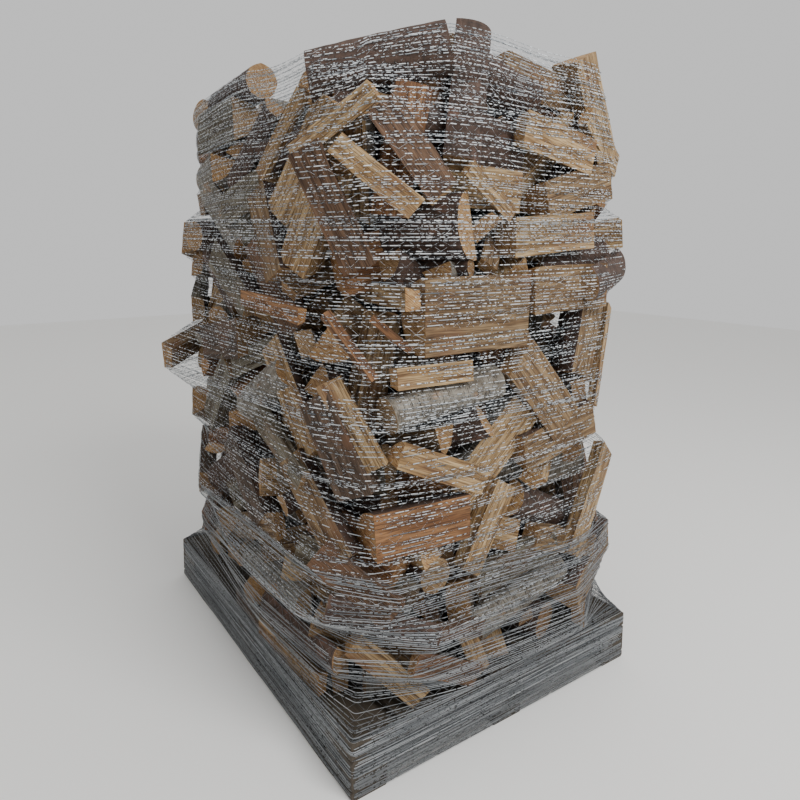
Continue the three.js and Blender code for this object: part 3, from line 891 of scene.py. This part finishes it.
@dataclass
class Rods:
    """Logs as round-ended rods, for finding them room.

    A log's corners reach past its rod, and rods are still a little deep in each other when the rounds end, so
    the logs drawn on them cross one another in many places.
    """

    middle: np.ndarray
    axis: np.ndarray
    half: np.ndarray
    radius: np.ndarray
    free: np.ndarray

    def settle(self, rounds: int) -> None:
        """Pushes rods apart where they meet, and in where they pass the load's plan, its deck or its top.

        Each pair is moved apart along the shortest line between their middles' lines, and turned by where
        along the rod it meets.

        Args:
            rounds: how many times.
        """
        for _ in range(rounds):
            gap = self.middle[:, None] - self.middle[None]
            reach = self.half + self.radius
            near = (gap ** 2).sum(2) < (reach[:, None] + reach[None]) ** 2
            i, j = np.nonzero(np.triu(near, 1))
            keep = self.free[i] | self.free[j]
            i, j = i[keep], j[keep]
            w, a, b = self.middle[i] - self.middle[j], self.axis[i], self.axis[j]
            dot, d, e = (a * b).sum(1), (a * w).sum(1), (b * w).sum(1)
            s = np.clip((dot * e - d) / (1 - dot ** 2 + 1e-4), -self.half[i], self.half[i])
            t = np.clip(dot * s + e, -self.half[j], self.half[j])
            s = np.clip(dot * t - d, -self.half[i], self.half[i])
            line = w + a * s[:, None] - b * t[:, None]
            length = np.linalg.norm(line, axis=1) + 1e-9
            deep = np.maximum(self.radius[i] + self.radius[j] - length, 0)
            push = line / length[:, None] * (0.45 * deep)[:, None]
            move, turn = np.zeros_like(self.middle), np.zeros_like(self.middle)
            np.add.at(move, i, push)
            np.add.at(move, j, -push)
            np.add.at(turn, i, push * (s / self.half[i] ** 2)[:, None])
            np.add.at(turn, j, -push * (t / self.half[j] ** 2)[:, None])
            free = self.free[:, None]
            self.middle = self.middle + np.where(free, np.clip(move, -0.03, 0.03), 0)
            self.axis = unit(self.axis + np.where(free, np.clip(turn * 0.5, -0.25, 0.25), 0))
            self.keep_inside()

    def keep_inside(self) -> None:
        """Moves both ends of each free rod back inside the plan, above the deck and under the top."""
        for sign in (-1, 1):
            end = self.middle + sign * self.axis * self.half[:, None]
            room = plan_scale(end[:, 2])
            a, b = HALF_LENGTH * room - self.radius, HALF_WIDTH * room - self.radius
            over = (abs(end[:, 0] / a) ** CORNER + abs(end[:, 1] / b) ** CORNER) ** (1 / CORNER)
            back = np.minimum(1 / np.maximum(over, 1e-6), 1)
            fix = np.zeros_like(end)
            fix[:, :2] = end[:, :2] * (back - 1)[:, None]
            fix[:, 2] = np.clip(end[:, 2], DECK_TOP + self.radius, LOAD_TOP - 0.04 - self.radius) - end[:, 2]
            fix = np.where(self.free[:, None], fix, 0)
            self.middle = self.middle + fix * 0.6
            self.axis = unit(self.axis + sign * 0.4 * fix / self.half[:, None])


@dataclass
class LooseLogs:
    """Every other log of the heap, joined into a few meshes, in place of the CAD's one heap."""

    materials: list
    count: int = 480
    rounds: int = 90
    seed: int = 11
    spacing: float = 0.016
    rows: int = 6
    pieces: int = 2

    def rods(self, named: "list[Surface]", rng: np.random.Generator) -> Rods:
        """Sets out the rods: the CAD's logs and the ones seen stand still, the others start at random.

        Args:
            named: the surfaces of the CAD's logs.
            rng: the random source.
        Returns:
            The rods before they settle.
        """
        middles, axes, halves, radii = [], [], [], []
        for surface in named:
            away = surface.points - surface.points.mean(0)
            axis = np.linalg.svd(away, full_matrices=False)[2][0]
            along = away @ axis
            off = np.linalg.norm(away - along[:, None] * axis, axis=1)
            radius = 1.05 * float(off.mean())
            middles.append(surface.points.mean(0))
            axes.append(axis)
            halves.append(float(along.max()) - radius)
            radii.append(radius)
        for seen in SEEN:
            place = seen.place()
            radius = 0.38 * seen.width * MM
            middles.append(place[3] - place[1] * radius)
            axes.append(place[2])
            halves.append(seen.length * MM / 2 - radius)
            radii.append(radius)
        fixed = len(middles)
        n = self.count
        start = rng.uniform([-0.55, -0.47, DECK_TOP + 0.05], [0.55, 0.47, LOAD_TOP - 0.09], (n, 3))
        middles = np.concatenate([middles, start])
        axes = np.concatenate([axes, unit(rng.normal(0, 1, (n, 3)) * [1, 1, 0.75])])
        radii = np.concatenate([radii, rng.uniform(0.032, 0.058, n)])
        halves = np.concatenate([halves, rng.uniform(0.12, 0.165, n) - 0.02])
        return Rods(middles, axes, halves, radii, np.arange(n + fixed) >= fixed)

    def build(self, named: "list[Surface]") -> "list[Surface]":
        """Builds the loose logs.

        Args:
            named: the surfaces of the CAD's logs.
        Returns:
            The surfaces, for the net to lie on.
        """
        rng = np.random.default_rng(self.seed)
        rods = self.rods(named, rng)
        rods.settle(self.rounds)
        surfaces = []
        for seen in SEEN:
            stations, bark = log_stations(seen.shape, seen.width * MM, seen.length * MM, seen.place(), rng)
            surfaces.append(log_surface(stations, bark, seen.tone.value, seen.cover, rng, 0.008, 12))
        shapes = (Shape.HALF, Shape.QUARTER, Shape.FACE, Shape.SLAB, Shape.BILLET, Shape.ROUND, Shape.SLAT)
        tones = (Tone.PALE, Tone.TAN, Tone.ORANGE, Tone.RED, Tone.GREY, Tone.BROWN)
        free = np.nonzero(rods.free)[0]
        outward = wall_normal(rods.middle)
        for k in free:
            shape = shapes[rng.choice(7, p=[0.2, 0.2, 0.2, 0.14, 0.14, 0.05, 0.07])]
            tone = tones[rng.choice(6, p=[0.24, 0.3, 0.08, 0.12, 0.12, 0.14])]
            cover = Bark.WHITE if rng.random() < 0.4 else Bark.DARK
            axis, radius = rods.axis[k], rods.radius[k]
            aim = outward[k] if rng.random() < 0.7 else unit(rng.normal(0, 1, 3))
            face = unit(aim - axis * (aim @ axis) + 1e-6)
            width = {Shape.HALF: 2.3, Shape.QUARTER: 2.1, Shape.FACE: 2.1, Shape.SLAB: 2.3, Shape.BILLET: 1.9,
                     Shape.ROUND: 2.0, Shape.SLAT: 1.5}[shape] * radius
            depth = {Shape.HALF: -0.45, Shape.QUARTER: -0.9, Shape.ROUND: 0.0}.get(shape, 0.75) * radius
            if shape is Shape.HALF and rng.random() < 0.6:
                face = -face
            place = np.stack([np.cross(face, axis), face, axis, rods.middle[k] + face * depth])
            stations, bark = log_stations(shape, width, 2 * rods.half[k] + 1.1 * radius, place, rng)
            surfaces.append(log_surface(stations, bark, tone.value, cover, rng, self.spacing, self.rows))
        heights = np.array([s.points[:, 2].mean() for s in surfaces])
        groups = np.array_split(np.argsort(heights), self.pieces)
        for n, group in enumerate(groups, 1):
            joined = Surface.join([surfaces[k] for k in group])
            piece = joined.build(f"loose_logs_{n}", self.materials)
            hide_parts("log_heap")
            LOG.info("%s: %d logs, %d triangles", piece.name, len(group), len(joined.faces))
        return surfaces


# ---------------------------------------------------------------- the pallet


@dataclass
class Pallet:
    """The pallet's boards and blocks: sawn timber with worn edges."""

    material: bpy.types.Material
    edge: float = 0.003
    spacing: float = 0.05

    def timber(self, name: str, rng: np.random.Generator) -> Surface:
        """Draws one timber in its CAD box: three grids of faces with drawn-in edges.

        Each face's corner lines are drawn in by the edge's wear, more here and less there; the faces
        themselves stay in the box.

        Args:
            name: the CAD node.
            rng: the random source.
        Returns:
            The closed surface.
        """
        low, high = (np.array(v, float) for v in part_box(name))
        size = high - low
        run = int(np.argmax(size))
        other = [k for k in range(3) if k != run]
        rows = max(3, int(size[run] / self.spacing))
        t = np.linspace(0, 1, rows)
        worn = self.edge * (1 + 0.6 * ripple(rng, t * size[run], 0.4, 3))
        worn = np.clip(worn, 0.0008, 0.45 * size[other].min())
        half = size[other] / 2
        signs = np.array([[1, -1], [1, -1], [1, 1], [1, 1], [-1, 1], [-1, 1], [-1, -1], [-1, -1]], float)
        cut = np.array([[1, 0], [0, 1], [0, 1], [1, 0], [1, 0], [0, 1], [0, 1], [1, 0]], float)
        ring = signs[None] * (half[None, None] - worn[:, None, None] * cut[None])
        points = np.zeros((rows, 8, 3))
        points[..., other[0]] = ring[..., 0] + (low + high)[other[0]] / 2
        points[..., other[1]] = ring[..., 1] + (low + high)[other[1]] / 2
        points[..., run] = (low[run] + t * size[run])[:, None]
        count = 8
        a = (np.arange(rows - 1)[:, None] * count + np.arange(count)[None]).ravel()
        b = (np.arange(rows - 1)[:, None] * count + np.roll(np.arange(count), -1)[None]).ravel()
        walls = np.concatenate([np.stack([a, b, b + count], 1), np.stack([a, b + count, a + count], 1)])
        c, d = np.arange(count), np.roll(np.arange(count), -1)
        hubs, last = points[[0, -1]].mean(1), (rows - 1) * count
        caps = np.concatenate([np.stack([d, c, 0 * c + rows * count], 1),
                               np.stack([c + last, d + last, 0 * c + rows * count + 1], 1)])
        flat = np.concatenate([points.reshape(-1, 3), hubs])
        faces = np.concatenate([walls, caps])
        if np.linalg.det(np.eye(3)[[other[0], other[1], run]]) < 0:
            faces = faces[:, ::-1]
        order = [other[0], other[1], run]
        grain = flat[:, order] - (low + high)[order] / 2 + [0.3, 0.2, rng.uniform(0, 30)]
        return Surface(flat, faces, grain, np.ones((len(flat), 3)), np.zeros(len(faces), int))

    def build(self) -> "list[Surface]":
        """Builds every timber.

        Returns:
            The surfaces, for the net to lie on.
        """
        surfaces = []
        for n, name in enumerate(sorted(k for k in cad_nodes() if "board" in k or k.startswith("block"))):
            surface = self.timber(name, np.random.default_rng(900 + n))
            piece = surface.build(f"worn_{name}", [self.material], sharp=30)
            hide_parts(name)
            surfaces.append(surface)
            LOG.info("%s: %d triangles", piece.name, len(surface.faces))
        return surfaces


# ---------------------------------------------------------------- the net


@dataclass(frozen=True)
class Band:
    """One turn of the net's roll round the load: its edges, how many chains it has and how it was pulled.

    Heights are metres at the middle of the wave. The band rises and falls once round the load by tilt,
    highest at a bearing in degrees. gather draws the chains towards its lower edge, shade is a factor on its
    threads' colour, lowest in the bands at the load's foot, and a close band is gathered so tight that its
    stitches run together.
    """

    low: float
    high: float
    chains: int
    tilt: float
    bearing: float
    gather: float = 1.0
    lift: float = 0.0
    shade: float = 1.0
    close: bool = False


@dataclass
class PalletNet:
    """A knitted net stretched round the load: level chains of stitches with zigzag threads between them."""

    material: bpy.types.Material
    gathered: bpy.types.Material
    directions: int = 180
    bearings: int = 540
    levels: int = 190
    slope: float = 1.5
    chain_steps: int = 148
    zigzag_steps: int = 200
    corner: float = math.atan2(0.5, 0.6)
    fullness: float = 2.0
    chain_radius: float = 0.0010
    thread_radius: float = 0.00035
    bottom: float = 0.006
    top: float = 1.775
    bands: tuple[Band, ...] = (
        Band(0.007, 0.165, 52, 0.003, 40, lift=0.001, shade=0.24, close=True),
        Band(0.060, 0.46, 66, 0.050, -60, gather=1.2, lift=0.003, shade=0.4, close=True),
        Band(0.34, 0.90, 58, 0.022, 20, lift=0.002, shade=0.8),
        Band(0.85, 1.36, 56, -0.018, -20, lift=0.001, shade=0.95),
        Band(1.29, 1.765, 50, 0.012, 10, lift=0.002, shade=0.95),
        Band(1.56, 1.765, 14, 0.05, -70, lift=0.004),
    )

    def reach(self, surfaces: "list[Surface]") -> np.ndarray:
        """Finds how far out the taut net lies at each level and bearing.

        At a level each point of the load holds the net out, drawn in by the slope for every metre it is above
        or below. The furthest reach in each direction gives a line across, and the net runs round inside all
        of those lines, so its distance at a bearing is the least of line distance over cosine.

        Args:
            surfaces: what the net lies on.
        Returns:
            (levels, bearings) distances from the middle.
        """
        points = np.concatenate([s.points for s in surfaces] + [self.along_edges(s) for s in surfaces])
        away = np.linalg.norm(points[:, :2], axis=1)
        points, away = points[away > 0.38], away[away > 0.38]
        turn = np.arange(self.directions) * 2 * math.pi / self.directions
        ways = np.stack([np.cos(turn), np.sin(turn)])
        # in each thin layer only the furthest point of each direction can hold the net
        layer = (points[:, 2] / 0.008).astype(int)
        held = []
        for k in np.unique(layer):
            mine = np.nonzero(layer == k)[0]
            held.append(mine[np.unique(np.argmax(points[mine, :2] @ ways, axis=0))])
        held = np.unique(np.concatenate(held))
        points, away = points[held], away[held]
        lines = np.empty((self.levels, self.directions))
        for k, level in enumerate(np.linspace(self.bottom, self.top, self.levels)):
            rise = abs(points[:, 2] - level)
            near = rise < 0.22
            share = 1 - self.slope * rise[near] / away[near]
            lines[k] = (points[near, :2] * share[:, None] @ ways).max(0)
        around = np.arange(self.bearings) * 2 * math.pi / self.bearings
        between = np.cos(around[:, None] - turn[None])
        ratio = np.where(between > 0.15, 1 / np.maximum(between, 0.15), np.inf)
        return (lines[:, None, :] * ratio[None]).min(2) + 0.0015

    def rim(self, surfaces: "list[Surface]", turn: np.ndarray) -> np.ndarray:
        """Finds the net's upper edge: it rests on the highest side logs and sags a little between them.

        Args:
            surfaces: what the net lies on.
            turn: bearings in radians.
        Returns:
            The edge's height at each bearing.
        """
        points = np.concatenate([s.points for s in surfaces])
        points = points[points[:, 2] > 1.4]
        bearing = np.arctan2(points[:, 1], points[:, 0])
        reach = np.linalg.norm(points[:, :2], axis=1)
        room = np.array([np.linalg.norm(wall_point(b, 1.6)[:2]) for b in turn])
        apart = abs((bearing[None] - turn[:, None] + math.pi) % (2 * math.pi) - math.pi)
        height = points[None, :, 2] - 0.16 * apart - 0.35 * np.maximum(0.8 * room[:, None] - reach[None], 0)
        top = height.max(1) - 0.012
        wide = np.concatenate([top[-6:], top, top[:6]])
        return np.convolve(wide, np.ones(13) / 13, "valid")

    def turns(self) -> np.ndarray:
        """Gives the bearings of a chain's steps: even ones, and closer ones round the pallet's four corners.

        Returns:
            Bearings in radians, rising.
        """
        even = np.arange(self.chain_steps) * 2 * math.pi / self.chain_steps
        corners = np.array([self.corner, math.pi - self.corner, math.pi + self.corner, 2 * math.pi - self.corner])
        close = (corners[:, None] + np.radians([-1.4, -0.5, 0.0, 0.5, 1.4])[None]).ravel()
        return np.sort(np.concatenate([even, close]))

    @staticmethod
    def along_edges(surface: Surface, pieces: int = 12) -> np.ndarray:
        """Gives points along the long edges of the outer triangles, so that the net is held all along them.

        Args:
            surface: the surface.
            pieces: how many parts each edge is cut into.
        Returns:
            (n, 3) points.
        """
        corners = surface.points[surface.faces]
        outer = np.linalg.norm(corners[..., :2], axis=2).max(1) > 0.42
        corners = corners[outer]
        ends = np.roll(corners, -1, 1)
        long = np.linalg.norm(ends - corners, axis=2) > 0.014
        one, other = corners[long], ends[long]
        t = np.linspace(0, 1, pieces + 1)[1:-1, None, None]
        return (one[None] * (1 - t) + other[None] * t).reshape(-1, 3)

    def at(self, reach: np.ndarray, bearing: np.ndarray, height: np.ndarray, lift: float) -> np.ndarray:
        """Puts points on the net's surface, by a straight mean between the four nearest grid points.

        Args:
            reach: the surface's distances.
            bearing: radians.
            height: metres.
            lift: metres outside the surface.
        Returns:
            The points.
        """
        row = np.clip((height - self.bottom) / (self.top - self.bottom) * (self.levels - 1), 0, self.levels - 1.001)
        column = (bearing / (2 * math.pi) * self.bearings) % self.bearings
        r, c = row.astype(int), column.astype(int)
        u, v = row - r, column - c
        d = (c + 1) % self.bearings
        far = ((1 - u) * ((1 - v) * reach[r, c] + v * reach[r, d])
               + u * ((1 - v) * reach[r + 1, c] + v * reach[r + 1, d])) + lift
        return np.stack([far * np.cos(bearing), far * np.sin(bearing), height], -1)

    @staticmethod
    def tube(path: np.ndarray, radius: float, seed: float, width: float = 1.0) -> Surface:
        """Sweeps a three-sided thread along closed paths.

        Args:
            path: (rings, steps, 3) closed loops.
            radius: the thread's radius.
            seed: sets the loops' stitches apart.
            width: the thread's height over its thickness.
        Returns:
            The surface.
        """
        rings, steps = path.shape[:2]
        along = unit(np.roll(path, -1, 1) - np.roll(path, 1, 1))
        out = path * [1, 1, 0]
        out = unit(out - along * (out * along).sum(2, keepdims=True))
        up = np.cross(out, along)
        turn = np.arange(3) * 2 * math.pi / 3 + math.pi
        corner = (path[:, :, None] + radius * (out[:, :, None] * np.cos(turn)[None, None, :, None]
                                               + width * up[:, :, None] * np.sin(turn)[None, None, :, None]))
        points = corner.reshape(-1, 3)
        ring, step, k = (v.ravel() for v in np.meshgrid(np.arange(rings), np.arange(steps), np.arange(3), indexing="ij"))
        after, next_k = (step + 1) % steps, (k + 1) % 3
        a, b = (ring * steps + step) * 3 + k, (ring * steps + step) * 3 + next_k
        c, d = (ring * steps + after) * 3 + next_k, (ring * steps + after) * 3 + k
        faces = np.concatenate([np.stack([a, c, b], 1), np.stack([a, d, c], 1)])
        lengths = np.linalg.norm(np.roll(path, -1, 1) - path, axis=2)
        run = np.cumsum(lengths, 1) - lengths
        grain = np.stack([run, seed + 3.1 * np.arange(rings)[:, None] + 0 * run, path[..., 2]], -1)
        grain = np.repeat(grain[:, :, None], 3, 2).reshape(-1, 3)
        return Surface(points, faces, grain, np.ones((len(points), 3)), np.zeros(len(faces), int))

    def band_surface(self, band: Band, reach: np.ndarray, rim: np.ndarray, rng: np.random.Generator) -> Surface:
        """Builds one band: its chains, and the zigzag between each two of them.

        Args:
            band: the band.
            reach: the surface's distances.
            rim: the height that no chain passes, at each of the chains' steps.
            rng: the random source.
        Returns:
            The surface.
        """
        share = (np.arange(band.chains) + 0.5 + 0.28 * rng.uniform(-1, 1, band.chains)) / band.chains
        share = np.clip(share + 0.012 * ripple(rng, share, 0.3, 3), 0, 1) ** band.gather

        turn = self.turns()
        high = np.minimum(band.high + band.tilt * np.cos(turn - math.radians(band.bearing)), rim)
        waves = np.stack([ripple(rng, turn, 2 * math.pi, 1) for _ in range(band.chains)])
        spread = np.cumsum(rng.normal(0, 1, band.chains))[:, None] * 0.0007
        height = band.low + share[:, None] * (high - band.low)[None] + waves * 0.0012 + spread * np.cos(turn + rng.uniform(0, 6))[None]
        height = np.clip(height, self.bottom, self.top)
        chains = self.tube(self.at(reach, turn[None] + 0 * height, height, band.lift), self.chain_radius,
                           rng.uniform(0, 50), 1.35)
        fine = np.arange(self.zigzag_steps) * 2 * math.pi / self.zigzag_steps
        wrapped = np.concatenate([turn, [turn[0] + 2 * math.pi]])
        ahead = np.stack([np.interp(fine, wrapped, np.r_[h, h[0]]) for h in height])
        swing = (np.arange(self.zigzag_steps) % 2)[None]
        flip = (np.arange(band.chains - 1) % 2)[:, None]
        up = (swing + flip) % 2
        zigzag = np.where(up == 1, ahead[1:], ahead[:-1])
        threads = self.tube(self.at(reach, fine[None] + 0 * zigzag, zigzag, band.lift - 0.0008), self.thread_radius,
                            rng.uniform(0, 50), 1.0)
        net = Surface.join([chains, threads])
        net.tone = net.tone * band.shade
        return net

    def build(self, surfaces: "list[Surface]") -> None:
        """Builds the net's bands, each with its material.

        Args:
            surfaces: what the net lies on.
        """
        reach = self.reach(surfaces)
        rim = self.rim(surfaces, self.turns())
        loop = self.at(reach, self.turns()[None], np.full((1, len(self.turns())), 0.9), 0.0)
        around = float(np.linalg.norm(np.roll(loop, -1, 1) - loop, axis=2).sum())
        for n, band in enumerate(self.bands, 1):
            surface = self.band_surface(band, reach, rim, np.random.default_rng(70 + n))
            cloth = self.gathered if band.close else self.material
            piece = surface.build(f"net_band_{n}", [cloth], sharp=180)
            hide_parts("pallet_net")
            tall = (band.high - band.low) * (self.fullness if band.close else 1.0)
            area = min(max(surface.area() / 2, 0.301 * around * tall), around * tall)
            LOG.info("%s: %d triangles, flat %.2f x %.2f m", piece.name, len(surface.faces), around, tall)


# ---------------------------------------------------------------- the studio


@dataclass
class Studio:
    """A pale floor and background, soft lights and the camera."""

    camera_at: tuple = (1.741, -1.237, 1.294)
    camera_turn: tuple = (84.0, 0.0, 58.1)
    lens: float = 29.03
    shift: tuple = (0.0725, -0.1175)
    background: str = "#f9f9f9"
    glow: float = 0.8

    def lamp(self, name: str, at: tuple, size: float, power: float) -> None:
        """Adds a square soft light that faces the load's middle.

        Args:
            name: its name.
            at: its position.
            size: its side.
            power: watts.
        """
        data = bpy.data.lights.new(name, "AREA")
        data.size, data.energy = size, power
        lamp = bpy.data.objects.new(name, data)
        lamp.location = at
        back = unit(np.array(at) - [0, 0, 0.9])
        pitch, yaw = math.acos(back[2]), math.atan2(back[1], back[0]) + math.pi / 2
        lamp.rotation_euler = (pitch, 0, yaw)
        bpy.context.scene.collection.objects.link(lamp)

    def build(self) -> None:
        """Builds the floor, background, lights and camera."""
        half = 9.0
        corners = np.array([[-half, -half, 0], [half, -half, 0], [half, half, 0], [-half, half, 0]], float)
        faces = np.array([[0, 1, 2], [0, 2, 3]])
        floor = Surface(corners, faces, corners, np.ones((4, 3)), np.zeros(2, int))
        mesh = floor.build("studio_floor", [Plaster("matt_plaster").build()], sharp=None)
        mesh.parent = None
        world = bpy.data.worlds.new("pale_room")
        world.use_nodes = True
        sky = world.node_tree.nodes["Background"]
        sky.inputs["Color"].default_value = linear(self.background)
        sky.inputs["Strength"].default_value = self.glow
        bpy.context.scene.world = world
        self.lamp("key_light", (3.3, 0.3, 3.9), 2.2, 172)
        self.lamp("fill_light", (-0.6, -4.2, 2.6), 3.0, 8)
        data = bpy.data.cameras.new("camera")
        data.lens, data.sensor_width = self.lens, 36
        data.shift_x, data.shift_y = self.shift
        camera = bpy.data.objects.new("camera", data)
        camera.location = self.camera_at
        camera.rotation_euler = [math.radians(v) for v in self.camera_turn]
        bpy.context.scene.collection.objects.link(camera)
        bpy.context.scene.camera = camera


def main() -> None:
    """Builds the load, sub-assembly by sub-assembly, and the studio round it."""
    logging.basicConfig(level=logging.INFO, format="%(message)s")
    wood = [
        SplitBirch("split_birch").build(),
        SawnEnd("sawn_birch_end").build(),
        BirchBark("white_birch_bark").build(),
        BirchBark("dark_birch_bark", base="#513d32", mark="#201a16", worn="#66493a", marked=0.6, relief=0.003).build(),
    ]
    named = NamedLogs(wood).build()
    loose = LooseLogs(wood).build(named)
    # the pallet's timber carries painted shade in its base colour
    timbers = Pallet(PalletTimber("weathered_pallet_timber_painted_shade").build()).build()
    open_net = NetThread("white_polyethylene_net", roughness=0.45).build()
    close_net = NetThread("gathered_polyethylene_net", roughness=0.5, gap=0.38).build()
    PalletNet(open_net, close_net).build(named + loose + timbers)
    Studio().build()


if __name__ == "__main__":
    main()
